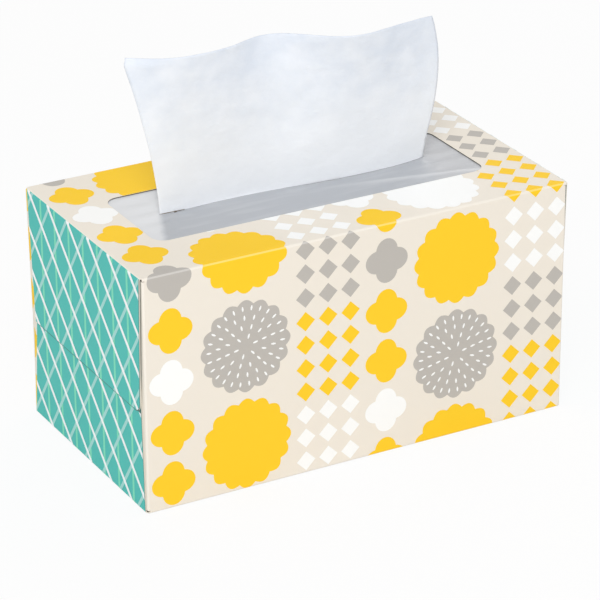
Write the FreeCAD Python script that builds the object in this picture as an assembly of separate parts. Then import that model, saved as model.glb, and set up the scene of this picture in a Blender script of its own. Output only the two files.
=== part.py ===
"""A flat family box of facial tissues, full, with the next tissue standing in its window.

The origin is at the middle of the underside. X runs along the box, Y runs from the front to the
back, and Z is up. Lengths are in millimetres.
"""
import FreeCAD
import Part

import math
import os

V = FreeCAD.Vector

# Outside of the closed carton
box_length = 234.0
box_depth = 126.0
box_height = 122.3

# Paperboard, its creases and its layers of glue
card = 0.45
fold_radius = 1.2
glue = 0.1

# Flaps of the carton
flap_corner = 5.0
flap_taper = 2.2
upper_flap_length = 69.0
upper_flap_inset = 1.2
flap_overlap = 21.0
lower_flap_inset = 1.6
dust_flap_gap = 12.0
dust_flap_inset = 0.4
dust_flap_taper = 7.0
seam_flap_width = 16.0
seam_flap_inset = 2.0
seam_flap_taper = 5.0
seam_flap_corner = 2.0
seam_edge_rise = 0.3

# Window in the top, and the film glued under it
opening_length = 182.0
opening_width = 58.0
opening_corner = 7.0
film = 0.12
film_margin = 12.0
film_corner = 4.0
film_glue_setback = 2.0
film_glue_width = 8.0
slit_clearance = 0.3
slit_end_clearance = 1.2

# Lines and beads of glue
seam_glue_width = 8.0
seam_glue_end_gap = 12.0
bead_length = 36.0
bead_width = 5.0
lower_bead_rise = 25.0

# Folded tissues, and the room left round them
end_room = 12.55
side_room = 9.3
head_room = 13.4
stack_fold_radius = 6.0

# The tissue that stands in the slit: its thickness, and the waves and lean of its upper half
tissue = 0.3
slit_end_room = 17.7
foot_shift = -1.4
foot_wave = 0.9
foot_wave_place = 0.13
standing_length = 84.0
left_flare = 17.7
right_bulge = 17.3
right_taper = 23.0
left_lean = 1.5
right_lean = 18.6
top_wave = 5.0
top_wave_count = 1.85
top_wave_place = 0.475
flare_power = 1.5
wave_power = 1.3
lean_power = 1.4

# The lower half of that tissue, folded on top of the stack
bend_radius = 3.0
fold_gap = 0.3
rest_gap = 0.05
crease_setback = 2.0

# Points worked out across and along the curved surfaces
points_across = 17
points_up = 9
slit_points = 9

# Places that follow from the sizes
half_length = box_length / 2
half_depth = box_depth / 2
layer = card + glue
flat_half_depth = half_depth - fold_radius
wall_low = fold_radius
wall_high = box_height - fold_radius
side_fold_x = half_length - 2 * layer - fold_radius
seam_fold_y = half_depth - layer - fold_radius
lower_flap_length = wall_high - wall_low - upper_flap_length + flap_overlap
dust_flap_length = flat_half_depth - dust_flap_gap / 2
film_top = box_height - card - glue
film_bottom = film_top - film
sheet_width = box_length - 2 * card - 2 * end_room
stack_depth = box_depth - 2 * card - 2 * side_room
stack_top = box_height - card - head_room
sheet_length = 2 * stack_depth
foot_width = opening_length - 2 * slit_end_room
lower_layer_z = stack_top + rest_gap + tissue / 2
upper_layer_z = lower_layer_z + fold_gap + tissue
bend_foot = upper_layer_z + bend_radius


def block(x_span, y_span, z_span):
    """A box between two corners, given as its three spans."""
    corner = V(x_span[0], y_span[0], z_span[0])
    length, width, height = (span[1] - span[0] for span in (x_span, y_span, z_span))
    return Part.makeBox(length, width, height, corner)


def edges_along(shape, way):
    """The straight edges of a shape that run along a direction."""
    return [edge for edge in shape.Edges if abs(edge.tangentAt(edge.FirstParameter).dot(way)) > 0.99]


def rounded_plate(length, width, corner, bottom, thickness):
    """A flat plate centred on the Z axis, with its four corners rounded."""
    plate = block((-length / 2, length / 2), (-width / 2, width / 2), (bottom, bottom + thickness))
    return plate.makeFillet(corner, edges_along(plate, V(0, 0, 1)))


def fold(centre, along, start, end, length, outer=fold_radius, thickness=card):
    """A quarter ring of a sheet, of a given outer radius, swept along a crease from start to end."""
    middle = (start + end).normalize()
    radii = (outer, outer - thickness)
    arcs = [Part.Arc(centre + start * r, centre + middle * r, centre + end * r).toShape() for r in radii]
    rims = [Part.makeLine(centre + way * radii[0], centre + way * radii[1]) for way in (end, start)]
    section = Part.Face(Part.Wire([arcs[0], rims[0], arcs[1], rims[1]]))
    return section.extrude(along * length)


def flap(root_half, taper, length, corner):
    """A tapered flap that hangs down from the X axis, with rounded tips, its card thick along +Y."""
    tip_half = root_half - taper
    outline = [V(-root_half, 0, 0), V(root_half, 0, 0), V(tip_half, 0, -length), V(-tip_half, 0, -length)]
    plate = Part.Face(Part.makePolygon(outline + outline[:1])).extrude(V(0, card, 0))
    tips = [edge for edge in edges_along(plate, V(0, 1, 0)) if edge.CenterOfMass.z < -length / 2]
    return plate.makeFillet(corner, tips)


def place(shape, origin, out, up):
    """A copy of a shape moved to origin, with its own Y turned to out and its own Z turned to up."""
    across = out.cross(up)
    turn = FreeCAD.Matrix(across.x, out.x, up.x, origin.x,
                          across.y, out.y, up.y, origin.y,
                          across.z, out.z, up.z, origin.z,
                          0, 0, 0, 1)
    moved = shape.copy()
    moved.Placement = FreeCAD.Placement(turn)
    return moved


def sleeve():
    """The four long panels, the creases between them and the seam flap inside the back."""
    side_x = (-side_fold_x, side_fold_x)
    top_x = half_length - fold_radius
    bottom_x = half_length - layer - fold_radius
    panels = [
        block((-top_x, top_x), (-flat_half_depth, flat_half_depth), (box_height - card, box_height)),
        block((-bottom_x, bottom_x), (-flat_half_depth, seam_fold_y), (0, card)),
        block(side_x, (-half_depth, card - half_depth), (wall_low, wall_high)),
        block(side_x, (half_depth - card, half_depth), (seam_edge_rise, wall_high)),
    ]
    along = V(1, 0, 0)
    front, back, up, down = V(0, -1, 0), V(0, 1, 0), V(0, 0, 1), V(0, 0, -1)
    folds = [
        fold(V(-top_x, -flat_half_depth, wall_high), along, front, up, 2 * top_x),
        fold(V(-top_x, flat_half_depth, wall_high), along, up, back, 2 * top_x),
        fold(V(-bottom_x, -flat_half_depth, wall_low), along, down, front, 2 * bottom_x),
        fold(V(-side_fold_x, seam_fold_y, wall_low), along, back, down, 2 * side_fold_x),
    ]
    seam = flap(side_fold_x - seam_flap_inset, seam_flap_taper, seam_flap_width, seam_flap_corner)
    seam_root = V(0, seam_fold_y + fold_radius - card, wall_low)
    return panels + folds + [place(seam, seam_root, back, down)]


def closing_flap(side, outside_x, inset, length, crease_z, up):
    """An outer flap of one end and its crease: up is the way from the flap's tip to its crease."""
    out = V(side, 0, 0)
    root_half = half_depth - inset
    crease = V(side * (outside_x - fold_radius), -root_half, crease_z)
    plate = flap(root_half, flap_taper, length, flap_corner)
    return [
        fold(crease, V(0, 1, 0), up, out, 2 * root_half),
        place(plate, V(side * (outside_x - card), 0, crease_z), out, up),
    ]


def dust_flap(side, wall):
    """An inner flap of one end and its crease, on the front wall (-1) or the back wall (1)."""
    out = V(side, 0, 0)
    toward_wall = V(0, wall, 0)
    root_half = (wall_high - wall_low) / 2 - dust_flap_inset
    middle_z = box_height / 2
    outside_x = side_fold_x + fold_radius
    crease = V(side * side_fold_x, wall * flat_half_depth, middle_z - root_half)
    plate = flap(root_half, dust_flap_taper, dust_flap_length, flap_corner)
    return [
        fold(crease, V(0, 0, 1), toward_wall, out, 2 * root_half),
        place(plate, V(side * (outside_x - card), wall * flat_half_depth, middle_z), out, toward_wall),
    ]


def carton():
    """The whole folded sheet of card, with the window cut out of its top."""
    pieces = sleeve()
    up, down = V(0, 0, 1), V(0, 0, -1)
    lower_x = half_length - layer
    for side in (-1, 1):
        pieces += dust_flap(side, -1) + dust_flap(side, 1)
        pieces += closing_flap(side, lower_x, lower_flap_inset, lower_flap_length, wall_low, down)
        pieces += closing_flap(side, half_length, upper_flap_inset, upper_flap_length, wall_high, up)
    body = pieces[0].multiFuse(pieces[1:]).removeSplitter()
    window = rounded_plate(opening_length, opening_width, opening_corner, box_height - 2 * card, 3 * card)
    return body.cut(window)


def foot_line(share):
    """How far the tissue's middle stands behind the slit's straight line, at a share of its width."""
    return foot_wave * math.cos(2 * math.pi * (share - foot_wave_place))


def slit():
    """The cutter for the slit: it follows the foot of the standing tissue with room on both sides."""
    half_gap = tissue / 2 + slit_clearance
    reach = foot_width + 2 * slit_end_clearance
    rims = []
    for way in (-1, 1):
        points = []
        for i in range(slit_points):
            share = i / (slit_points - 1)
            x = foot_shift + reach * (share - 0.5)
            points.append(V(x, foot_line(share) + way * half_gap, film_bottom - film))
        curve = Part.BSplineCurve()
        curve.interpolate(points)
        rims.append(curve)
    ends = [Part.makeLine(getattr(rims[0], end), getattr(rims[1], end)) for end in ("StartPoint", "EndPoint")]
    outline = Part.Wire([rims[0].toShape(), ends[1], rims[1].toShape(), ends[0]])
    return Part.Face(outline).extrude(V(0, 0, 3 * film))


def window_film():
    """The clear sheet under the window, with the slit that the tissue stands in."""
    length = opening_length + 2 * film_margin
    width = opening_width + 2 * film_margin
    return rounded_plate(length, width, film_corner, film_bottom, film).cut(slit())


def film_glue():
    """The frame of glue between the film and the underside of the top."""
    inner_length = opening_length + 2 * film_glue_setback
    inner_width = opening_width + 2 * film_glue_setback
    outer_length = inner_length + 2 * film_glue_width
    outer_width = inner_width + 2 * film_glue_width
    frame = rounded_plate(outer_length, outer_width, opening_corner, film_top, glue)
    return frame.cut(rounded_plate(inner_length, inner_width, opening_corner, film_top - glue, 3 * glue))


def seam_glue():
    """The line of glue that joins the seam flap to the back wall."""
    reach = side_fold_x - seam_flap_inset - seam_glue_end_gap
    low = wall_low + (seam_flap_width - seam_glue_width) / 2
    inside = half_depth - card
    return block((-reach, reach), (inside - glue, inside), (low, low + seam_glue_width))


def end_glue(side):
    """Four beads of glue at one end: two behind the lower flap and two between the outer flaps."""
    overlap_z = wall_high - upper_flap_length + flap_overlap / 2
    bead_y = flat_half_depth - dust_flap_length / 2
    rows = ((half_length - layer - card, wall_low + lower_bead_rise), (half_length - card, overlap_z))
    beads = []
    for outer_x, z in rows:
        for way in (-1, 1):
            x_span = sorted((side * (outer_x - glue), side * outer_x))
            y_span = (way * bead_y - bead_length / 2, way * bead_y + bead_length / 2)
            beads.append(block(x_span, y_span, (z - bead_width / 2, z + bead_width / 2)))
    return Part.makeCompound(beads)


def tissue_stack():
    """The pile of folded tissues, rounded along its two folded sides."""
    x_span = (-sheet_width / 2, sheet_width / 2)
    pile = block(x_span, (-stack_depth / 2, stack_depth / 2), (card, stack_top))
    return pile.makeFillet(stack_fold_radius, edges_along(pile, V(1, 0, 0)))


def standing_point(share, rise):
    """A point of the standing tissue's middle: share is 0 to 1 across it, rise 0 to 1 up its length."""
    left = foot_shift - foot_width / 2 - left_flare * rise ** flare_power
    right = foot_shift + foot_width / 2 + right_bulge * rise - right_taper * rise ** 2
    lean = (left_lean + (right_lean - left_lean) * share) * rise ** lean_power
    wave = top_wave * math.cos(2 * math.pi * top_wave_count * (share - top_wave_place)) * rise ** wave_power
    y = foot_line(share) * (1 - rise) + wave - lean
    height = math.sqrt((standing_length * rise) ** 2 - lean ** 2)
    return V(left + (right - left) * share, y, film_top + height)


def tissue_skin(rows, way):
    """One face of the tissue above the film, half its thickness in front (-1) or behind (1) its middle."""
    last = len(rows[0]) - 1
    skin_rows = []
    for below, row, above in zip(rows[:1] + rows[:-1], rows, rows[1:] + rows[-1:]):
        skin_row = []
        for i, point in enumerate(row):
            across = row[min(i + 1, last)] - row[max(i - 1, 0)]
            normal = (above[i] - below[i]).cross(across).normalize()
            skin_row.append(point + normal * (way * tissue / 2))
        skin_rows.append(skin_row)
    skin = Part.BSplineSurface()
    skin.interpolate(skin_rows)
    return skin


def end_points(edge):
    """The points at the start and the end of an edge."""
    return [edge.valueAt(at) for at in edge.ParameterRange]


def upright_tissue():
    """The tissue above the bend: the neck that spreads under the film, and the part that stands."""
    shares = [i / (points_across - 1) for i in range(points_across)]
    rises = [i / (points_up - 1) for i in range(points_up)]
    rows = [[standing_point(share, rise) for share in shares] for rise in rises]
    faces = []
    rims = []
    for way in (-1, 1):
        skin = tissue_skin(rows, way)
        foot, top = skin.uIso(0).toShape(), skin.uIso(1).toShape()
        left, right = skin.vIso(0).toShape(), skin.vIso(1).toShape()
        y = way * tissue / 2
        bend_line = Part.makeLine(V(-sheet_width / 2, y, bend_foot), V(sheet_width / 2, y, bend_foot))
        neck_sides = [Part.makeLine(low, high) for low, high in zip(end_points(bend_line), end_points(foot))]
        faces += [Part.Face(skin), Part.makeRuledSurface(bend_line, foot)]
        rims.append([bend_line, top, left, right] + neck_sides)
    faces += [Part.makeRuledSurface(front, back) for front, back in zip(*rims)]
    shell = Part.makeShell(faces)
    shell.sewShape()
    return Part.makeSolid(shell)


def folded_tissue():
    """The tissue's lower half: bent back onto the stack, creased at its edge and folded under itself."""
    half = tissue / 2
    x_span = (-sheet_width / 2, sheet_width / 2)
    crease_y = stack_depth / 2 - crease_setback
    crease_radius = (fold_gap + tissue) / 2
    crease_arc = math.pi * crease_radius
    bend_arc = math.pi / 2 * bend_radius
    used = standing_length + (film_top - bend_foot) + bend_arc + (crease_y - bend_radius) + crease_arc
    tail = sheet_length - used
    along = V(1, 0, 0)
    front, back, up, down = V(0, -1, 0), V(0, 1, 0), V(0, 0, 1), V(0, 0, -1)
    bend = V(x_span[0], bend_radius, bend_foot)
    crease = V(x_span[0], crease_y, upper_layer_z - crease_radius)
    return [
        fold(bend, along, down, front, sheet_width, bend_radius + half, tissue),
        block(x_span, (bend_radius, crease_y), (upper_layer_z - half, upper_layer_z + half)),
        fold(crease, along, back, up, sheet_width, crease_radius + half, tissue),
        fold(crease, along, down, back, sheet_width, crease_radius + half, tissue),
        block(x_span, (crease_y - tail, crease_y), (lower_layer_z - half, lower_layer_z + half)),
    ]


def standing_tissue():
    """The tissue that stands in the slit, with its lower half folded on top of the stack."""
    return upright_tissue().multiFuse(folded_tissue()).removeSplitter()


def export(name, shape):
    """Write one piece to its own file and print what it holds."""
    shape.exportStep("parts/" + name + ".step")
    print(name, "valid", shape.isValid(), "solids", len(shape.Solids), "volume", round(shape.Volume, 2))


os.makedirs("parts", exist_ok=True)
export("carton", carton())
export("window_film", window_film())
export("film_glue", film_glue())
export("seam_glue", seam_glue())
export("left_end_glue", end_glue(-1))
export("right_end_glue", end_glue(1))
export("tissue_stack", tissue_stack())
export("standing_tissue", standing_tissue())
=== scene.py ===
"""Looks of a flat tissue box: its printed carton, the film in its window and the tissue in the slit.

Meshes are drawn in millimetres, in the frame's own place, and turned to metres when they are finished.
"""

import logging
import math
from collections.abc import Callable, Iterable, Mapping, Sequence
from dataclasses import dataclass, field
from enum import Enum
from functools import partial

import bmesh
import bpy
from bmesh.types import BMesh, BMFace
from bpy.types import Material, Node, NodeOutputs, NodeSocket, NodeTree, Object
from mathutils import Matrix, Vector, noise


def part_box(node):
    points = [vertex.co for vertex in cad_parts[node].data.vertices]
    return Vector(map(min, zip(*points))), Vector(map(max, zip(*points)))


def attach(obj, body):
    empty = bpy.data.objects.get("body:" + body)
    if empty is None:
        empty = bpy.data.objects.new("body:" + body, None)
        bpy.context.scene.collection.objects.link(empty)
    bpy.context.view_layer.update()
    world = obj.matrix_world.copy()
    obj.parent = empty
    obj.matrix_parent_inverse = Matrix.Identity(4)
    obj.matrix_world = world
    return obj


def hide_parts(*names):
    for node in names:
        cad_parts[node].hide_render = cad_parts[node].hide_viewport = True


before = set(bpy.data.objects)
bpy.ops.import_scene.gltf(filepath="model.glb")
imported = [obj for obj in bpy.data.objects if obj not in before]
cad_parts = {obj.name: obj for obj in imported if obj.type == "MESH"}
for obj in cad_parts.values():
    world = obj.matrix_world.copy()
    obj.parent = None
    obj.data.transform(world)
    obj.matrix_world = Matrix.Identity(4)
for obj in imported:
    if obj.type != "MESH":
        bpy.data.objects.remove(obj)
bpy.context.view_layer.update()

log = logging.getLogger("tissue_box")

MM = 0.001
TINY = 1e-6
CUT_REACH = 1e-5
BODY = "root"


def linear_colour(code: str) -> tuple[float, float, float, float]:
    """Turn an sRGB hex colour into the linear values that a shader takes.

    Args:
        code: Six hex digits after a hash.

    Returns:
        Red, green, blue and an alpha of 1.
    """
    channels = [int(code[i:i + 2], 16) / 255 for i in (1, 3, 5)]
    linear = [c / 12.92 if c <= 0.04045 else ((c + 0.055) / 1.055) ** 2.4 for c in channels]
    return (linear[0], linear[1], linear[2], 1.0)


def add_node(tree: NodeTree, kind: str, inputs: Mapping | None = None,
             **settings: object) -> Node:
    """Add a node with its settings, values and links.

    Args:
        tree: The node tree to add to.
        kind: The node's type name.
        inputs: Values or source sockets, by the input's name or number.
        **settings: Properties of the node itself.

    Returns:
        The new node.
    """
    node = tree.nodes.new(kind)
    for name, value in settings.items():
        setattr(node, name, value)
    for name, value in (inputs or {}).items():
        if isinstance(value, NodeSocket):
            tree.links.new(value, node.inputs[name])
        else:
            node.inputs[name].default_value = value
    return node


def eased(value: float) -> float:
    """Ease a value from 0 to 1, flat at both ends."""
    held = min(max(value, 0.0), 1.0)
    return held * held * (3 - 2 * held)


def between(low: float, high: float, share: float) -> float:
    """Give the value at a share of the way from low to high."""
    return low + (high - low) * share


class Slot(Enum):
    """The record's material slots."""

    CARD = "printed_card"
    FILM = "clear_film"
    GLUE = "glue"
    TISSUE = "tissue_paper"


@dataclass(frozen=True)
class Finish:
    """A finish made of one Principled shader and patterns on the object's own coordinates."""

    name: str

    def material(self) -> Material:
        """Build the finish.

        Returns:
            The new material.
        """
        material = bpy.data.materials.new(self.name)
        material.use_nodes = True
        tree = material.node_tree
        tree.nodes.clear()
        coords = add_node(tree, "ShaderNodeTexCoord")
        shader = add_node(tree, "ShaderNodeBsdfPrincipled")
        self.dress(tree, coords, shader)
        add_node(tree, "ShaderNodeOutputMaterial", {"Surface": shader.outputs["BSDF"]})
        return material

    def dress(self, tree: NodeTree, coords: Node, shader: Node) -> None:
        """Set the shader's values and patterns.

        Args:
            tree: The material's node tree.
            coords: Its coordinates.
            shader: Its shader.
        """
        raise NotImplementedError


def chosen(tree: NodeTree,
           tests: Sequence[tuple[NodeSocket, str, float]]) -> NodeSocket:
    """Give 1 where every test holds, and otherwise 0.

    Args:
        tree: The node tree to add to.
        tests: A value, how it is compared, and the limit that it is compared with.

    Returns:
        The answer.
    """
    answer = None
    for value, kind, limit in tests:
        test = add_node(tree, "ShaderNodeMath", {0: value, 1: limit}, operation=kind).outputs[0]
        answer = test if answer is None else add_node(tree, "ShaderNodeMath", {0: answer, 1: test},
                                                      operation="MULTIPLY").outputs[0]
    return answer


def colour_over(tree: NodeTree, colour: str,
                layers: Sequence[tuple[NodeSocket, str]]) -> NodeSocket:
    """Lay colours over one another, each as far as its share says.

    Args:
        tree: The node tree to add to.
        colour: The hex colour underneath.
        layers: The share and the hex colour of each layer, from below.

    Returns:
        The colour that shows.
    """
    below = linear_colour(colour)
    for share, code in layers:
        below = add_node(tree, "ShaderNodeMix", {"Factor": share, "A": below, "B": linear_colour(code)},
                         data_type="RGBA").outputs["Result"]
    return below


def noise_of(tree: NodeTree, place: NodeSocket, grain_mm: float, detail: float = 2.0,
             stretch: tuple[float, float, float] = (1, 1, 1)) -> NodeSocket:
    """Add noise with grains of a real size.

    Args:
        tree: The node tree to add to.
        place: The coordinates, in metres.
        grain_mm: The size of a grain.
        detail: How many finer layers it has.
        stretch: How much longer the grains are each way.

    Returns:
        The noise, about 0.5 on average.
    """
    scale = [1 / (grain_mm * MM * way) for way in stretch]
    put = add_node(tree, "ShaderNodeMapping", {"Vector": place, "Scale": scale})
    return add_node(tree, "ShaderNodeTexNoise", {"Vector": put.outputs["Vector"], "Scale": 1.0,
                                                 "Detail": detail}).outputs["Fac"]


def texture(tree: NodeTree, shader: Node, pattern: NodeSocket,
            depth_mm: float, smooth: float, rough: float) -> None:
    """Let one pattern raise a surface and vary its gloss.

    Args:
        tree: The node tree to add to.
        shader: The surface's shader.
        pattern: The pattern, about 0.5 on average.
        depth_mm: How deep the pattern is.
        smooth: The roughness where the pattern is low.
        rough: The roughness where the pattern is high.
    """
    bump = add_node(tree, "ShaderNodeBump", {"Strength": 1.0, "Distance": depth_mm * MM, "Height": pattern})
    tree.links.new(bump.outputs["Normal"], shader.inputs["Normal"])
    spread = add_node(tree, "ShaderNodeMapRange", {"Value": pattern, "From Min": 0.3, "From Max": 0.7,
                                                   "To Min": smooth, "To Max": rough})
    tree.links.new(spread.outputs["Result"], shader.inputs["Roughness"])


def varnish(tree: NodeTree, place: NodeSocket, shader: Node) -> None:
    """Give a surface the thin varnish of the carton, which shows the grain of its board in a soft sheen.

    Args:
        tree: The node tree to add to.
        place: The coordinates, in metres.
        shader: The surface's shader.
    """
    shader.inputs["Specular IOR Level"].default_value = 0.16
    grain = noise_of(tree, place, grain_mm=0.9, detail=4.0)
    texture(tree, shader, grain, depth_mm=0.006, smooth=0.5, rough=0.62)


@dataclass(frozen=True)
class Ink(Finish):
    """Offset ink under a water-based varnish: an even colour, with the board's grain in its soft sheen."""

    colour: str
    # The paler colour of the folds: a painted highlight, partly the stretched coating.
    stretched_highlight: str = ""

    def highlit_at_folds(self) -> "Ink":
        """Give the paler ink of the folds, a painted highlight that is partly the stretched coating."""
        return Ink(self.name + "_highlit_at_folds", self.stretched_highlight)

    def dress(self, tree: NodeTree, coords: Node, shader: Node) -> None:
        """Set the ink's even colour, and the grain in its sheen."""
        shader.inputs["Base Color"].default_value = linear_colour(self.colour)
        varnish(tree, coords.outputs["Object"], shader)


@dataclass(frozen=True)
class Board(Finish):
    """Clay-coated carton board, die-cut and folded: a printed ground outside, grey stock inside."""

    half_depth: float
    height: float
    flap_face: float
    fold_radius: float
    window_reach: tuple[float, float]
    ground: str = "#F0E8DB"
    # The colour of the folds: a painted highlight, partly the stretched coating.
    stretched_highlight: str = "#F3ECE0"
    # The dark line at the cuts of the end prints: partly print margin, partly painted shade.
    cut_line_and_shade: str = "#4E7770"
    # The flaps' cut edges, lighter than the stock: painted light against the shade of their gaps.
    lightened_flap_edge: str = "#DED8CC"
    # The window's raw cut edge, darkened as painted shade.
    shaded_window_cut: str = "#68655F"
    stock: str = "#C6C0B4"
    fibre: str = "#D3CCBF"
    fibre_mm: float = 0.8
    window_cut_depth: float = 0.6
    bare_reach: float = 9.0
    flat_to: tuple[float, float, float] = (0.93, 0.97, 0.97)
    faces_end_from: float = 0.7
    flap_edge_to: float = 0.2
    window_cut_to: float = 0.5

    def dress(self, tree: NodeTree, coords: Node, shader: Node) -> None:
        """Choose the colour by where the face is and which way it points.

        Args:
            tree: The material's node tree.
            coords: Its coordinates.
            shader: Its shader.
        """
        place, way = coords.outputs["Object"], coords.outputs["Normal"]
        middle = (0, 0, self.height / 2 * MM)
        centred = add_node(tree, "ShaderNodeVectorMath", {0: place, 1: middle}, operation="SUBTRACT")
        outward = add_node(tree, "ShaderNodeVectorMath", {0: centred.outputs["Vector"], 1: way},
                           operation="DOT_PRODUCT").outputs["Value"]
        sizes = add_node(tree, "ShaderNodeVectorMath", {0: centred.outputs["Vector"]}, operation="ABSOLUTE")
        facing = add_node(tree, "ShaderNodeVectorMath", {0: way}, operation="ABSOLUTE")
        at, away, points = (add_node(tree, "ShaderNodeSeparateXYZ", {"Vector": vector}).outputs
                            for vector in (place, sizes.outputs["Vector"], facing.outputs["Vector"]))
        cut_low = self.height / 2 - self.window_cut_depth
        outside = (outward, "GREATER_THAN", 0.0)
        on_end = (away["X"], "GREATER_THAN", (self.flap_face - self.fold_radius * 0.3) * MM)
        faces_end = (points["X"], "GREATER_THAN", self.faces_end_from)
        behind = (at["Y"], "GREATER_THAN", (self.half_depth - self.bare_reach) * MM)
        # Each list of tests finds one kind of face: the printed outside; its folds, in a painted highlight
        # that is partly the stretched coating;
        # the lines that the end prints leave at the cuts, partly print margin and partly painted shade; their
        # bare strip at the back;
        # the cut edges of the flaps, lightened as painted light against the shade of their gaps; and the
        # window's cut edge, darkened as painted shade.
        printed = chosen(tree, [outside])
        # The fold arcs take a painted highlight, partly the stretched coating.
        folded = chosen(tree, [outside] + [(points[axis], "LESS_THAN", limit)
                                           for axis, limit in zip("XYZ", self.flat_to)])
        # Painted shade, partly print margin: the bare board beside the end prints is a dark teal.
        beside_print_shaded = chosen(tree, [on_end, faces_end])
        bare = chosen(tree, [on_end, faces_end, behind])
        # Painted light: the flaps' cut edges are lightened against the shade in their gaps.
        lightened_flap_edge = chosen(tree, [on_end, (points["X"], "LESS_THAN", self.flap_edge_to),
                                  (away["Y"], "LESS_THAN", (self.half_depth - self.fold_radius / 2) * MM),
                                  (away["Z"], "LESS_THAN", (self.height / 2 - self.fold_radius) * MM)])
        # Painted shade: the window's cut edge is darkened.
        shaded_window_cut = chosen(tree, [(points["Z"], "LESS_THAN", self.window_cut_to),
                                   (away["X"], "LESS_THAN", self.window_reach[0] * MM),
                                   (away["Y"], "LESS_THAN", self.window_reach[1] * MM),
                                   (away["Z"], "GREATER_THAN", cut_low * MM)])
        fibres = noise_of(tree, place, self.fibre_mm, detail=4.0, stretch=(3, 1, 1))
        colour = colour_over(tree, self.fibre, [
            (fibres, self.stock), (printed, self.ground), (folded, self.stretched_highlight),
            (beside_print_shaded, self.cut_line_and_shade), (bare, self.ground), (lightened_flap_edge, self.lightened_flap_edge),
            (shaded_window_cut, self.shaded_window_cut)])
        tree.links.new(colour, shader.inputs["Base Color"])
        varnish(tree, place, shader)


@dataclass(frozen=True)
class Crease:
    """A long straight crease in the film, from near its middle to its right end."""

    behind: float = -6.5
    slope: float = -0.236
    start: float = 5.0
    run: float = 40.0
    height: float = 0.8
    half_width: float = 2.2
    # How far the painted highlight reaches from the crease.
    highlight_reach: float = 3.2


@dataclass(frozen=True)
class FilmSheet(Finish):
    """Blown polyethylene film: soft, milky and half glossy, with painted shade between the slit's ends and, a
    little paler, past its right end.

    Each edge of the painted shade has its slant, and where it starts and ends past the slit's end.
    """

    slit_start: float
    slit_end: float
    crease: Crease
    haze: str = "#E8E9EB"
    # Painted shade past the slit's right end, standing for the tissue's shadow.
    shaded_right_end: str = "#C5C6C9"
    # Painted shade between the slit's ends.
    shaded_middle: str = "#BDC0C5"
    cover: float = 0.9
    left_edge: tuple[float, float, float] = (-0.42, -2.0, 2.5)
    right_edge: tuple[float, float, float] = (-0.30, -6.0, 7.0)
    wander_mm: float = 3.0
    streak_mm: float = 5.0
    most_milk: float = 0.26
    # The most painted highlight on the crease.
    most_highlight: float = 0.5

    def dress(self, tree: NodeTree, coords: Node, shader: Node) -> None:
        """Set the milky colour, the painted shade between the slit's ends and past its right end, the painted
        highlight along the crease, how much they cover, and the gloss.

        Args:
            tree: The material's node tree.
            coords: Its coordinates.
            shader: Its shader.
        """
        place = coords.outputs["Object"]
        at = add_node(tree, "ShaderNodeSeparateXYZ", {"Vector": place}).outputs
        wander = noise_of(tree, place, grain_mm=7.0)
        past_ends = []
        for foot, (slant, start, end) in ((self.slit_start, self.left_edge),
                                          (self.slit_end, self.right_edge)):
            leaning = add_node(tree, "ShaderNodeMath", {0: at["Y"], 1: slant, 2: at["X"]},
                               operation="MULTIPLY_ADD").outputs[0]
            moved = add_node(tree, "ShaderNodeMath", {0: wander, 1: self.wander_mm * MM, 2: leaning},
                             operation="MULTIPLY_ADD").outputs[0]
            middle = foot + self.wander_mm / 2
            past_ends.append(add_node(tree, "ShaderNodeMapRange", {
                "Value": moved, "From Min": (middle + start) * MM, "From Max": (middle + end) * MM},
                interpolation_type="SMOOTHSTEP").outputs["Result"])
        streaks = noise_of(tree, place, self.streak_mm, stretch=(6, 1, 1))
        milky = add_node(tree, "ShaderNodeMapRange", {"Value": streaks, "From Min": 0.48, "From Max": 0.75,
                                                      "To Max": self.most_milk}).outputs["Result"]
        # Painted shade over the middle and the right end, random milky streaks, and a painted highlight along
        # the crease.
        colour = colour_over(tree, self.haze, [(past_ends[0], self.shaded_middle), (past_ends[1], self.shaded_right_end),
                                               (milky, self.haze), (self.painted_crease_highlight(tree, at), self.haze)])
        tree.links.new(colour, shader.inputs["Base Color"])
        shader.inputs["Alpha"].default_value = self.cover
        shader.inputs["IOR"].default_value = 1.51
        texture(tree, shader, streaks, depth_mm=0.02, smooth=0.30, rough=0.38)

    def painted_crease_highlight(self, tree: NodeTree, at: NodeOutputs) -> NodeSocket:
        """Give how much painted highlight lies along the film's crease.

        Args:
            tree: The node tree to add to.
            at: The coordinates, in metres, as three sockets.

        Returns:
            The share of painted highlight.
        """
        crease = self.crease
        across = add_node(tree, "ShaderNodeMath", {0: at["X"], 1: -crease.slope, 2: at["Y"]},
                          operation="MULTIPLY_ADD")
        beside = add_node(tree, "ShaderNodeMath", {0: across.outputs[0], 1: crease.behind * MM},
                          operation="SUBTRACT")
        away = add_node(tree, "ShaderNodeMath", {0: beside.outputs[0]}, operation="ABSOLUTE")
        line = add_node(tree, "ShaderNodeMapRange", {
            "Value": away.outputs[0], "From Min": 0.0, "From Max": crease.highlight_reach * MM,
            "To Min": self.most_highlight, "To Max": 0.0}, interpolation_type="SMOOTHSTEP")
        begun = add_node(tree, "ShaderNodeMapRange", {"Value": at["X"], "From Min": crease.start * MM,
                                                      "From Max": (crease.start + crease.run) * MM})
        return add_node(tree, "ShaderNodeMath", {0: line.outputs["Result"], 1: begun.outputs["Result"]},
                        operation="MULTIPLY").outputs[0]


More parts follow.
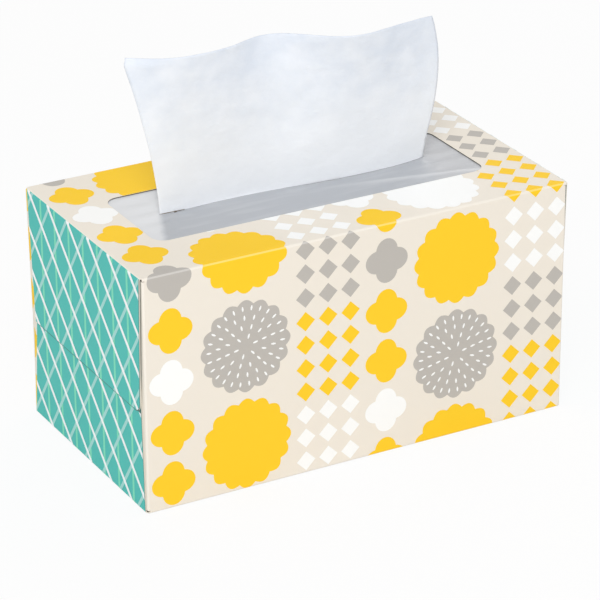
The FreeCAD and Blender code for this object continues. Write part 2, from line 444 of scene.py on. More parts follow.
@dataclass(frozen=True)
class Tissue(Finish):
    """Creped two-ply tissue: matt, faintly blue and cloudy where the plies differ, with crosswise crepe."""

    foot: float
    foot_light_to: float
    shaded_to: float
    colour: str = "#EEF3FB"
    thin: str = "#E2E9F4"
    # The whiter colour towards the foot: painted light.
    painted_foot_light: str = "#F8FBFF"
    shaded: str = "#8A7E6E"
    shade_slope: float = 0.06
    cloud_mm: float = 12.0
    crease_mm: float = 6.0

    def dress(self, tree: NodeTree, coords: Node, shader: Node) -> None:
        """Set the cloudy colour, whiter towards the foot as painted light, and the crepe.

        Args:
            tree: The material's node tree.
            coords: Its coordinates.
            shader: Its shader.
        """
        place = coords.outputs["Object"]
        at = add_node(tree, "ShaderNodeSeparateXYZ", {"Vector": place}).outputs
        clouds = noise_of(tree, place, self.cloud_mm, detail=6.0)
        cloudy = add_node(tree, "ShaderNodeMapRange", {"Value": clouds, "From Min": 0.32, "From Max": 0.68})
        # Painted light: the colour turns whiter towards the tissue's foot.
        foot_light_share = add_node(tree, "ShaderNodeMapRange", {
            "Value": at["Z"], "From Min": self.foot * MM, "From Max": self.foot_light_to * MM, "To Min": 1.0,
            "To Max": 0.0}, interpolation_type="SMOOTHSTEP")
        slanted = add_node(tree, "ShaderNodeMath", {0: at["X"], 1: self.shade_slope, 2: at["Z"]},
                           operation="MULTIPLY_ADD")
        level = (self.foot + self.shade_slope * self.shaded_to) * MM
        in_slit = chosen(tree, [(slanted.outputs[0], "LESS_THAN", level),
                                (at["X"], "LESS_THAN", self.shaded_to * MM)])
        colour = colour_over(tree, self.thin, [
            (cloudy.outputs["Result"], self.colour), (foot_light_share.outputs["Result"], self.painted_foot_light),
            (in_slit, self.shaded)])
        tree.links.new(colour, shader.inputs["Base Color"])
        shader.inputs["Specular IOR Level"].default_value = 0.2
        # The real crepe is about 0.3 mm apart, too fine to show, so it is drawn about 6 mm apart.
        crepe = noise_of(tree, place, self.crease_mm, detail=4.5, stretch=(1.5, 1, 1))
        texture(tree, shader, crepe, depth_mm=0.5, smooth=0.92, rough=0.98)


@dataclass(frozen=True)
class StackedTissue(Finish):
    """A clip of folded tissues seen from its sides: hundreds of edges, each a fine line."""

    colour: str = "#F4F6F8"
    gap: str = "#C9CED6"
    leaf_mm: float = 0.5

    def dress(self, tree: NodeTree, coords: Node, shader: Node) -> None:
        """Draw the edges of the leaves, which wander a little.

        Args:
            tree: The material's node tree.
            coords: Its coordinates.
            shader: Its shader.
        """
        lines = noise_of(tree, coords.outputs["Object"], self.leaf_mm, detail=3.0, stretch=(60, 60, 1))
        spread = add_node(tree, "ShaderNodeMapRange", {"Value": lines, "From Min": 0.35, "From Max": 0.6})
        colour = colour_over(tree, self.gap, [(spread.outputs["Result"], self.colour)])
        tree.links.new(colour, shader.inputs["Base Color"])
        texture(tree, shader, lines, depth_mm=0.3, smooth=0.92, rough=0.98)


@dataclass(frozen=True)
class DriedGlue(Finish):
    """Dried starch glue: a thin amber-beige bead, uneven and half glossy."""

    colour: str = "#D9C9A3"

    def dress(self, tree: NodeTree, coords: Node, shader: Node) -> None:
        """Set the colour and the uneven skin.

        Args:
            tree: The material's node tree.
            coords: Its coordinates.
            shader: Its shader.
        """
        shader.inputs["Base Color"].default_value = linear_colour(self.colour)
        skin = noise_of(tree, coords.outputs["Object"], grain_mm=1.5, detail=3.0)
        texture(tree, shader, skin, depth_mm=0.05, smooth=0.3, rough=0.5)


def finish_piece(name: str, bm: BMesh, finish: Finish,
                 smooth: bool = False) -> Object:
    """Turn a mesh drawn in millimetres into a finished piece.

    Args:
        name: The piece's name.
        bm: The drawn mesh, which is freed.
        finish: What it is made of.
        smooth: Whether it is shaded as one smooth sheet.

    Returns:
        The piece, which rides on the box.
    """
    bmesh.ops.scale(bm, vec=(MM, MM, MM), verts=bm.verts)
    for face in bm.faces:
        face.smooth = smooth
    mesh = bpy.data.meshes.new(name)
    bm.to_mesh(mesh)
    bm.free()
    mesh.materials.append(finish.material())
    piece = bpy.data.objects.new(name, mesh)
    bpy.context.scene.collection.objects.link(piece)
    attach(piece, BODY)
    log.info("%s: %d faces", name, len(mesh.polygons))
    return piece


def thicken(piece: Object, thickness: float, offset: float) -> None:
    """Give an open mesh its thickness.

    Args:
        piece: The piece.
        thickness: How thick it is, in mm.
        offset: -1 to put it inside the mesh, 0 to put half on each side.
    """
    solid = piece.modifiers.new("thickness", "SOLIDIFY")
    solid.thickness = thickness * MM
    solid.offset = offset


def cut(bm: BMesh, faces: Iterable[BMFace], point: Vector, normal: Vector,
        clear: bool = False) -> None:
    """Cut faces along a plane, always in the same order, so that each run gives the same mesh.

    Args:
        bm: The mesh.
        faces: The faces to cut.
        point: A point of the plane.
        normal: The plane's direction.
        clear: Whether what lies in front of the plane is taken away.
    """
    faces = list(faces)
    edges = dict.fromkeys(edge for face in faces for edge in face.edges)
    verts = dict.fromkeys(vert for face in faces for vert in face.verts)
    bmesh.ops.bisect_plane(bm, geom=[*faces, *edges, *verts], dist=CUT_REACH, plane_co=point,
                           plane_no=normal, clear_outer=clear)


def outline_edges(outline: Sequence[Vector]) -> list[tuple[Vector, Vector]]:
    """Give each edge of a counter-clockwise outline as its first point and its outward direction."""
    pairs = zip(outline, list(outline[1:]) + [outline[0]])
    return [(start, Vector((end.y - start.y, start.x - end.x, 0))) for start, end in pairs]


def trim(bm: BMesh, outline: Sequence[Vector]) -> None:
    """Keep what lies inside a convex outline, which runs counter-clockwise."""
    for start, outward in outline_edges(outline):
        cut(bm, bm.faces, start, outward, clear=True)


def rounded_corner(middle: Vector, radius: float, first: float, steps: int) -> list[Vector]:
    """Give the points of a quarter turn, from an angle in degrees."""
    angles = [math.radians(first + 90 * i / steps) for i in range(steps + 1)]
    return [middle + radius * Vector((math.cos(angle), math.sin(angle), 0)) for angle in angles]


@dataclass(frozen=True)
class Shape:
    """A printed shape drawn round a circle: the cosine swells it into a number of lobes."""

    radius: float
    lobes: int
    swell: float
    corners: int

    def draw(self, bm: BMesh, middle: Vector, stretch: tuple[float, float] = (1, 1),
             turn: float = 0.0) -> None:
        """Draw the shape flat on the net.

        Args:
            bm: The mesh to add it to.
            middle: Its middle.
            stretch: How much wider and taller it is.
            turn: How far it is turned, in radians.
        """
        ring = bmesh.ops.create_circle(bm, cap_ends=True, radius=1, segments=self.corners)["verts"]
        spin = Matrix.Rotation(turn, 3, "Z")
        for vert in ring:
            angle = math.atan2(vert.co.y, vert.co.x)
            reach = self.radius * (1 - self.swell * (1 - abs(math.cos(self.lobes * angle / 2))))
            flat = Vector((math.cos(angle) * reach * stretch[0], math.sin(angle) * reach * stretch[1], 0))
            vert.co = middle + spin @ flat
        cap = ring[0].link_faces[0]
        cap.normal_update()
        if cap.normal.z < 0:
            cap.normal_flip()
        bmesh.ops.triangulate(bm, faces=[cap])


class Colour(Enum):
    """The colours of the sleeve's print."""

    YELLOW = "yellow"
    WHITE = "white"
    GREY = "grey"


@dataclass(frozen=True)
class Column:
    """One column of like shapes up the net, with its colours in turn."""

    shape: Shape
    middles: tuple[float, ...]
    first: float
    pitch: float
    colours: tuple[Colour, ...]


class Layer(Enum):
    """How high each print lies on the board, in steps of one ink film."""

    FIELD = 1
    FIRST = 2
    SECOND = 3
    THIRD = 4


@dataclass
class Carton:
    """The printed carton: the finish of its board, and the inks on its sleeve and its ends."""

    half_length: float
    half_depth: float
    height: float
    fold_radius: float = 1.2
    card: float = 0.45
    glue: float = 0.1
    window_length: float = 182.0
    window_width: float = 58.0
    window_corner: float = 7.0
    upper_flap_length: float = 69.0
    upper_flap_inset: float = 1.2
    lower_flap_inset: float = 1.6
    flap_overlap: float = 21.0
    flap_taper: float = 2.2
    flap_corner: float = 5.0
    dust_flap_inset: float = 0.4
    back_edge: float = 0.3
    ink_step: float = 0.03
    ink_thickness: float = 0.018
    ink_margin: float = 0.15
    cut_edge: float = 0.4
    bare_top: float = 2.5
    bare_middle: float = 7.0
    bare_foot: float = 2.2
    fold_steps: int = 4
    window_corner_steps: int = 6
    flap_corner_steps: int = 5
    board: Board = field(init=False)

    def __post_init__(self) -> None:
        """Work out the places that follow from the sizes."""
        self.layer = self.card + self.glue
        self.quarter = math.pi / 2 * self.fold_radius
        self.front_run = self.height - 2 * self.fold_radius
        self.top_run = 2 * (self.half_depth - self.fold_radius)
        self.back_run = self.height - self.fold_radius - self.back_edge
        self.side_fold = self.half_length - 2 * self.layer - self.fold_radius
        self.end_fold = self.half_length - self.fold_radius
        self.top_start = self.front_run + self.quarter
        self.top_end = self.top_start + self.top_run
        self.back_start = self.top_end + self.quarter
        self.back_end = self.back_start + self.back_run
        self.bottom_fold = self.half_length - self.layer - self.fold_radius
        self.board = Board("printed_carton_board", self.half_depth, self.height,
                           self.half_length - self.layer, self.fold_radius,
                           (self.window_length / 2 + 0.5, self.window_width / 2 + 0.5))

    def wrapped(self, across: float, round_it: float, proud: float) -> Vector:
        """Fold a point of the flat net round the carton.

        Args:
            across: Its place along the box.
            round_it: Its distance round the sleeve from the foot of the front, up and over.
            proud: How far it stands off the board.

        Returns:
            The point in the frame.
        """
        at = Vector((-self.half_depth, self.fold_radius))
        out = Vector((-1.0, 0.0))
        left = round_it
        bend = 0.0
        if left < 0:
            bend = left / self.fold_radius
        else:
            for run, turns in ((self.front_run, False), (self.quarter, True), (self.top_run, False),
                               (self.quarter, True), (self.back_run, False)):
                along = Vector((out.y, -out.x))
                if not turns:
                    at = at + along * min(left, run)
                elif left < run:
                    bend = left / self.fold_radius
                else:
                    at = at + (along - out) * self.fold_radius
                    out = along
                if left < run:
                    break
                left -= run
        centre = at - out * self.fold_radius
        out = Vector((out.x * math.cos(bend) + out.y * math.sin(bend),
                      out.y * math.cos(bend) - out.x * math.sin(bend)))
        at = centre + out * self.fold_radius
        fold_from, _ = self.side_reach(round_it)
        past = abs(across) - fold_from
        side = math.copysign(1, across)
        if past <= 0:
            surface = at + out * proud
            return Vector((across, surface.x, surface.y))
        turn = min(past / self.fold_radius, math.pi / 2)
        inward = max(past - self.quarter, 0)
        radius = self.fold_radius + proud
        surface = at - out * (self.fold_radius - radius * math.cos(turn) + inward)
        return Vector((side * (fold_from + radius * math.sin(turn)), surface.x, surface.y))

    def side_reach(self, round_it: float) -> tuple[float, float]:
        """Give where the board folds at its sides, and how far its print runs.

        Args:
            round_it: The distance round the sleeve.

        Returns:
            The two distances from the box's middle.
        """
        if self.top_start <= round_it <= self.top_end:
            return self.end_fold, self.end_fold + self.quarter / 2
        if self.front_run < round_it < self.back_start:
            return self.end_fold, self.end_fold
        if round_it < 0:
            return self.bottom_fold, self.bottom_fold
        foot = round_it if round_it < self.front_run else self.back_end - round_it
        up_to_top = foot < self.dust_flap_inset or self.front_run - foot < self.dust_flap_inset
        return self.side_fold, self.side_fold + (0 if up_to_top else self.quarter)

    def is_fold_highlit(self, at: Vector) -> bool:
        """Tell whether a point of the flat net lies on a fold, where the print takes a painted highlight,
        partly the stretched coating.

        Args:
            at: The point.

        Returns:
            Whether it lies on the outer part of a fold.
        """
        step = self.quarter / self.fold_steps
        fold_from, _ = self.side_reach(at.y)
        beside = abs(at.x) - fold_from
        on_corner = any(start + step < at.y < start + self.quarter - step
                        for start in (-self.quarter, self.front_run, self.top_end))
        return on_corner or 0 < beside < self.quarter - step

    def window_outline(self) -> list[Vector]:
        """Give the window's outline on the net, an ink margin outside the cut.

        Returns:
            Its points, counter-clockwise.
        """
        reach_x = self.window_length / 2 + self.ink_margin
        reach_y = self.window_width / 2 + self.ink_margin
        radius = self.window_corner + self.ink_margin
        middle = (self.top_start + self.top_end) / 2
        outline = []
        for x, y, first in ((1, 1, 0), (-1, 1, 90), (-1, -1, 180), (1, -1, 270)):
            corner = Vector((x * (reach_x - radius), middle + y * (reach_y - radius), 0))
            outline += rounded_corner(corner, radius, first, self.window_corner_steps)
        return outline

    def cut_window(self, bm: BMesh) -> None:
        """Take the print out of the window.

        Args:
            bm: The flat print.
        """
        outline = self.window_outline()
        low, high = min(p.y for p in outline), max(p.y for p in outline)

        def near(face: BMFace) -> bool:
            """Whether a face reaches the window."""
            return any(abs(v.co.x) < outline[0].x and low < v.co.y < high for v in face.verts) or \
                low < face.calc_center_median().y < high

        edges = [(start, outward) for start, outward in outline_edges(outline) if outward.length > TINY]
        for start, outward in edges:
            cut(bm, [face for face in bm.faces if near(face)], start, outward)
        inside = [face for face in bm.faces
                  if all((face.calc_center_median() - start).dot(outward) < 0 for start, outward in edges)]
        bmesh.ops.delete(bm, geom=inside, context="FACES")

    def cut_folds(self, bm: BMesh) -> None:
        """Cut the print along the folds, finely enough to bend, and drop what runs past the board.

        Args:
            bm: The flat print.
        """
        step = self.quarter / self.fold_steps
        for start in (-self.quarter, self.front_run, self.top_end):
            for i in range(self.fold_steps + 1):
                cut(bm, bm.faces, Vector((0, start + i * step, 0)), Vector((0, 1, 0)))
        inset = self.dust_flap_inset
        for level in (inset, self.front_run - inset, self.back_start + inset, self.back_end - inset,
                      self.back_end):
            cut(bm, bm.faces, Vector((0, level, 0)), Vector((0, 1, 0)))
        for start in (self.side_fold, self.end_fold, self.bottom_fold):
            for i in range(self.fold_steps + 1):
                for side in (-1, 1):
                    cut(bm, bm.faces, Vector((side * (start + i * step), 0, 0)), Vector((side, 0, 0)))
        spare = []
        for face in bm.faces:
            at = face.calc_center_median()
            _, reach = self.side_reach(at.y)
            if abs(at.x) > reach or not -self.quarter / 2 < at.y < self.back_end:
                spare.append(face)
        bmesh.ops.delete(bm, geom=spare, context="FACES")

    def lay(self, name: str, bm: BMesh, ink: Ink, layer: Layer) -> None:
        """Fold a flat print round the sleeve and make it a piece.

        Args:
            name: The piece's name.
            bm: The flat print.
            ink: Its ink.
            layer: How high it lies.
        """
        self.cut_window(bm)
        self.cut_folds(bm)
        # Faces on the folds take the paler ink, a painted highlight.
        for face in bm.faces:
            face.material_index = int(self.is_fold_highlit(face.calc_center_median()))
        for vert in bm.verts:
            vert.co = self.wrapped(vert.co.x, vert.co.y, layer.value * self.ink_step)
        piece = finish_piece(name, bm, ink)
        piece.data.materials.append(ink.highlit_at_folds().material())
        thicken(piece, self.ink_thickness, -1)

    def columns(self) -> list[Column]:
        """Lay out the sleeve's shapes.

        Returns:
            The columns, from left to right.
        """
        large = Shape(radius=24.0, lobes=16, swell=0.09, corners=128)
        medium = Shape(radius=11.6, lobes=4, swell=0.28, corners=48)
        small = Shape(radius=5.1, lobes=4, swell=0.0, corners=4)
        yellow, white, grey = (Colour.YELLOW,), (Colour.WHITE,), (Colour.GREY,)
        return [
            Column(medium, (-102.0,), 12.0, 26.6, yellow * 2 + white + yellow + grey),
            Column(large, (-62.5,), 23.0, 51.5, yellow + grey + yellow + white + yellow),
            Column(small, (-30.3, -18.0, -5.7), 5.5, 12.4, white * 3 + yellow * 4 + grey * 3),
            Column(medium, (14.2,), 22.0, 26.6, white + yellow * 2 + grey + yellow),
            Column(large, (53.5,), 43.0, 51.5, grey + yellow + white + yellow),
            Column(small, (85.7, 98.0, 110.3), 10.5, 12.4, yellow * 3 + grey * 3 + white * 3 + yellow),
        ]

    def print_sleeve(self) -> None:
        """Print the sleeve, one piece to an ink, with short white strokes on the large grey shapes."""
        inks = {
            # Each ink's second colour is its painted highlight on the folds, partly the stretched coating.
            Colour.YELLOW: Ink("yellow_ink", "#FFD02A", "#FFDE78"),
            Colour.WHITE: Ink("white_ink", "#FDFDFB", "#FFFFFE"),
            Colour.GREY: Ink("grey_ink", "#BEB9B2", "#D0CCC6"),
        }
        flats = {colour: bmesh.new() for colour in inks}
        strokes = bmesh.new()
        for column in self.columns():
            count = math.ceil((self.back_end - column.first) / column.pitch) + 1
            for i in range(-1, count):
                colour = column.colours[i % len(column.colours)]
                for middle in column.middles:
                    at = Vector((middle, column.first + i * column.pitch, 0))
                    column.shape.draw(flats[colour], at)
                    if colour is Colour.GREY and column.shape.lobes > 4:
                        self.draw_strokes(strokes, at, column.shape.radius)
        for colour, flat in flats.items():
            self.lay(f"{colour.value}_print", flat, inks[colour], Layer.FIELD)
        self.lay("white_strokes", strokes, inks[Colour.WHITE], Layer.SECOND)

    def draw_strokes(self, bm: BMesh, middle: Vector, radius: float) -> None:
        """Draw rings of short strokes that point to the middle of a large shape.

        Args:
            bm: The mesh to add them to.
            middle: The shape's middle.
            radius: Its radius.
        """
        stroke = Shape(radius=1.45, lobes=4, swell=0.0, corners=6)
        for ring, count in ((0.22, 6), (0.42, 12), (0.62, 18), (0.82, 26)):
            for i in range(count):
                angle = 2 * math.pi * (i + ring) / count
                at = middle + radius * ring * Vector((math.cos(angle), math.sin(angle), 0))
                stroke.draw(bm, at, (1.0, 0.38), angle)

    def flap_outline(self, upper: bool) -> list[Vector]:
        """Give the outline of what shows of a closing flap, across and up the end.

        Args:
            upper: Whether it is the upper flap.

        Returns:
            Its points, counter-clockwise.
        """
        inset = self.upper_flap_inset if upper else self.lower_flap_inset
        root = self.half_depth - inset - self.cut_edge
        over = self.quarter / 2
        if upper:
            top = self.height - self.fold_radius
            foot = top - self.upper_flap_length + self.cut_edge
            end = root - self.flap_taper
            radius = self.flap_corner - self.cut_edge
            steps = self.flap_corner_steps
            left = rounded_corner(Vector((radius - end, foot + radius, 0)), radius, 180, steps)
            right = rounded_corner(Vector((end - radius, foot + radius, 0)), radius, 270, steps)
            return [Vector((root, top, 0)), Vector((root, top + over, 0)), Vector((-root, top + over, 0)),
                    Vector((-root, top, 0))] + left + right
        top = self.height - self.fold_radius - self.upper_flap_length
        lean = self.flap_taper * (top - self.fold_radius) / (top + self.flap_overlap - self.fold_radius)
        low = self.fold_radius - over
        return [Vector((-root, low, 0)), Vector((root, low, 0)), Vector((root, self.fold_radius, 0)),
                Vector((root - lean, top, 0)), Vector((lean - root, top, 0)),
                Vector((-root, self.fold_radius, 0))]

    def bare_edge(self, upper: bool, side: int) -> tuple[Vector, Vector]:
        """Give the line where an end's print stops short of the back fold.

        Args:
            upper: Whether it is on the upper flap.
            side: -1 for the left end, 1 for the right.

        Returns:
            A point of the line, and the direction of the bare board.
        """
        middle = self.height - self.fold_radius - self.upper_flap_length
        if upper:
            low, high, bare_low, bare_high = middle, self.height, self.bare_middle, self.bare_top
        else:
            low, high, bare_low, bare_high = 0.0, middle, self.bare_foot, self.bare_middle
        start = Vector((side * (self.half_depth - bare_low), low, 0))
        return start, Vector((side * (high - low), bare_high - bare_low, 0))

    def on_end(self, across: float, up: float, side: int, upper: bool, proud: float) -> Vector:
        """Put a point of an end's flat print on its flap.

        Args:
            across: Its place across the end, to the right as seen from outside.
            up: Its height; past the crease, its distance round the fold.
            side: -1 for the left end, 1 for the right.
            upper: Whether it is on the upper flap.
            proud: How far it stands off the board.

        Returns:
            The point in the frame.
        """
        face = self.half_length if upper else self.half_length - self.layer
        crease = self.height - self.fold_radius if upper else self.fold_radius
        past = max(up - crease if upper else crease - up, 0) / self.fold_radius
        radius = self.fold_radius + proud
        x = face - self.fold_radius + radius * math.cos(past)
        rise = math.copysign(radius * math.sin(past), 1 if upper else -1)
        z = crease + rise if past > 0 else up
        return Vector((side * x, side * across, z))

    def print_ends(self) -> None:
        """Print both ends: a teal field, a trellis of three sets of lines, and spots on the bare strip."""
        mint = partial(self.draw_lines, slope=0.0, pitch=15.7, width=1.9, shift=2.0)
        pale = partial(self.draw_lines, slope=-0.70, pitch=19.3, width=1.9, shift=4.0)
        white = partial(self.draw_lines, slope=1.05, pitch=22.0, width=2.15, shift=7.0)
        self.lay_on_ends("end_field", Ink("teal_ink", "#54C2B9"), Layer.FIELD, self.draw_field)
        self.lay_on_ends("mint_lines", Ink("mint_ink", "#84E0C0"), Layer.FIRST, mint)
        self.lay_on_ends("pale_lines", Ink("pale_teal_ink", "#A9DDD7"), Layer.SECOND, pale)
        self.lay_on_ends("white_lines", Ink("white_line_ink", "#FEFFFF"), Layer.THIRD, white)
        self.lay_on_ends("yellow_spots", Ink("yellow_spot_ink", "#FFD02A"), Layer.FIELD, self.draw_spots,
                         on_bare=True)

    def lay_on_ends(self, name: str, ink: Ink, layer: Layer, draw: Callable[[BMesh, int], None],
                    on_bare: bool = False) -> None:
        """Put one ink on the flaps of both ends.

        Args:
            name: The piece's name.
            ink: Its ink.
            layer: How high it lies.
            draw: What draws the flat print of one side.
            on_bare: Whether it lies on the bare strip beside the back fold, or on the rest of the flap.
        """
        whole = bmesh.new()
        for side in (-1, 1):
            for upper in (True, False):
                flat = bmesh.new()
                draw(flat, side)
                trim(flat, self.flap_outline(upper))
                point, outward = self.bare_edge(upper, side)
                cut(flat, flat.faces, point, -outward if on_bare else outward, clear=True)
                self.cut_creases(flat, upper)
                for vert in flat.verts:
                    vert.co = self.on_end(vert.co.x, vert.co.y, side, upper, layer.value * self.ink_step)
                spare = bpy.data.meshes.new("flap_print")
                flat.to_mesh(spare)
                flat.free()
                whole.from_mesh(spare)
                bpy.data.meshes.remove(spare)
        thicken(finish_piece(name, whole, ink), self.ink_thickness, -1)

    def draw_field(self, bm: BMesh, _side: int) -> None:
        """Draw one field over an end."""
        bmesh.ops.create_grid(bm, x_segments=1, y_segments=1, size=2 * self.half_depth)

    def draw_spots(self, bm: BMesh, side: int) -> None:
        """Draw a column of spots along the back fold of an end.

        Args:
            bm: The mesh to add them to.
            side: -1 for the left end, 1 for the right.
        """
        spot = Shape(radius=10.0, lobes=4, swell=0.28, corners=48)
        first, pitch = 13.0, 26.6
        for i in range(math.ceil((self.height - first) / pitch)):
            spot.draw(bm, Vector((side * self.half_depth, first + i * pitch, 0)))

    def draw_lines(self, bm: BMesh, _side: int, slope: float, pitch: float, width: float,
                   shift: float) -> None:
        """Draw one set of parallel lines over an end, alike at both sides.

        Args:
            bm: The mesh to add them to.
            _side: Not used.
            slope: How far a line moves across for each mm that it falls.
            pitch: Their distance across.
            width: Their width.
            shift: Where the first one meets the top.
        """
        reach = 3 * self.half_depth
        turn = Matrix.Rotation(math.atan(slope), 3, "Z")
        count = math.ceil(reach / pitch)
        for i in range(-count, count + 1):
            made = bmesh.ops.create_grid(bm, x_segments=1, y_segments=1, size=1)["verts"]
            for vert in made:
                flat = Vector((vert.co.x * width / 2, vert.co.y * reach, 0))
                vert.co = turn @ flat + Vector((shift + i * pitch, self.height, 0))

    def cut_creases(self, bm: BMesh, upper: bool) -> None:
        """Cut an end's print along its crease, finely enough to bend.

        Args:
            bm: The flat print.
            upper: Whether it is on the upper flap.
        """
        crease = self.height - self.fold_radius if upper else self.fold_radius
        way = 1 if upper else -1
        for i in range(3):
            cut(bm, bm.faces, Vector((0, crease + way * i * self.quarter / 8, 0)), Vector((0, 1, 0)))


@dataclass(frozen=True)
class Slit:
    """The slit in the film, which the tissue pulls out of its straight line."""

    start: float = -74.7
    end: float = 71.9
    offset: float = 1.0
    swing: float = 2.2
    crest: float = 0.28

    def behind(self, share: float) -> float:
        """Give how far the slit lies behind the film's middle, at a share of its length."""
        return self.offset + self.swing * math.cos(2 * math.pi * (share - self.crest))

    def spans(self, x: float, spare: float = 1.2) -> bool:
        """Whether the slit is open at a place along the box."""
        return self.start - spare < x < self.end + spare


@dataclass
class WindowFilm:
    """The milky film under the window, which creases and dips towards the slit that holds the tissue.

    It dips and gapes along the slit, ripples where the slit's ends pull it, and has one long crease in front.
    """

    half_length: float
    half_width: float
    low: float
    thickness: float
    slit: Slit
    crease: Crease = Crease()
    corner: float = 4.0
    flat_edge: float = 9.0
    edge_run: tuple[float, float] = (9.0, 8.0)
    dip: float = 0.6
    dip_run: float = 18.0
    dip_reach: float = 12.0
    ripple_height: float = 0.8
    ripple_pitch: float = 12.5
    ripple_run: float = 6.0
    ripple_lead: float = 4.0
    ripple_reach: float = 13.0
    ripple_spread: float = 24.0
    softness: float = 0.25
    soft_grain: tuple[float, float] = (38.0, 14.0)
    clearance: float = 0.45
    gape: float = 0.9
    gape_reach: float = 24.0
    gape_run: float = 20.0
    least_behind: float = 0.001
    cells_along: int = 150
    cells_across: int = 56

    def foot(self, x: float) -> float:
        """Give the slit's place across the film."""
        share = (x - self.slit.start) / (self.slit.end - self.slit.start)
        return self.slit.behind(min(max(share, 0), 1))

    def hanging(self, x: float, y: float) -> float:
        """Give how far the film hangs below flat at a point.

        Args:
            x: The point's place along the box.
            y: Its place across.

        Returns:
            The distance, which is nothing at the glued edge.
        """
        free = eased((self.half_length - self.flat_edge - abs(x)) / self.edge_run[0]) * \
            eased((self.half_width - self.flat_edge - abs(y)) / self.edge_run[1])
        away = y - self.foot(x)
        valley = self.dip * math.exp(-(away / self.dip_reach) ** 2)
        valley *= eased((x - self.slit.start - 1) / self.dip_run)
        valley *= eased((self.slit.end - 1 - x) / self.dip_run)
        ripples = 0.0
        for end, way in ((self.slit.start, -1), (self.slit.end, 1)):
            past = (x - end) * way
            fade = math.exp(-max(past, 0) / self.ripple_reach)
            fade *= eased((past + self.ripple_lead) / self.ripple_run)
            ripples -= fade * math.cos(2 * math.pi * away / self.ripple_pitch)
        ripples *= self.ripple_height * math.exp(-(away / self.ripple_spread) ** 2)
        crease = self.crease
        beside = (y - crease.behind - crease.slope * x) / crease.half_width
        ridge = crease.height * eased((x - crease.start) / crease.run) * math.exp(-beside ** 2)
        soft = self.softness * noise.noise(Vector((x / self.soft_grain[0], y / self.soft_grain[1], 3.0)))
        return (valley + ripples - ridge + soft) * free

    def placed(self, along: float, across: float, behind: float) -> Vector:
        """Put a point of the flat grid in its place.

        Args:
            along: Its place along the film, from -1 to 1.
            across: Its place across, from -1 to 1, with the slit at 0.
            behind: The middle of its faces across, which is below 0 on the slit's front edge.

        Returns:
            The point in the frame.
        """
        x = along * self.half_length
        in_middle = abs(across) < TINY
        at_slit = in_middle and self.slit.spans(x) and abs(behind) > self.least_behind
        side = math.copysign(1, behind if in_middle else across)
        start = self.foot(x)
        if at_slit:
            gape = self.gape * eased((self.slit.start + self.gape_reach - x) / self.gape_run)
            start += side * (self.clearance + (gape if side < 0 else 0))
        y = between(start, side * self.half_width, abs(across))
        past = Vector((max(abs(x) - self.half_length + self.corner, 0),
                       max(abs(y) - self.half_width + self.corner, 0)))
        if past.length > self.corner:
            past = past - past.normalized() * self.corner
            x -= math.copysign(past.x, x)
            y -= math.copysign(past.y, y)
        return Vector((x, y, self.low + self.thickness - self.hanging(x, y)))

    def build(self) -> Object:
        """Build the film.

        Returns:
            The piece, which replaces the plain film.
        """
        bm = bmesh.new()
        bmesh.ops.create_grid(bm, x_segments=self.cells_along, y_segments=self.cells_across, size=1)
        slit = [edge for edge in bm.edges
                if all(abs(v.co.y) < TINY and self.slit.spans(v.co.x * self.half_length) for v in edge.verts)]
        bmesh.ops.split_edges(bm, edges=slit)
        for vert in bm.verts:
            behind = sum(face.calc_center_median().y for face in vert.link_faces) / len(vert.link_faces)
            vert.co = self.placed(vert.co.x, vert.co.y, behind)
        finish = FilmSheet("milky_polyethylene_film", self.slit.start, self.slit.end, self.crease)
        piece = finish_piece("creased_film", bm, finish, smooth=True)
        thicken(piece, self.thickness, -1)
        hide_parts("window_film")
        return piece


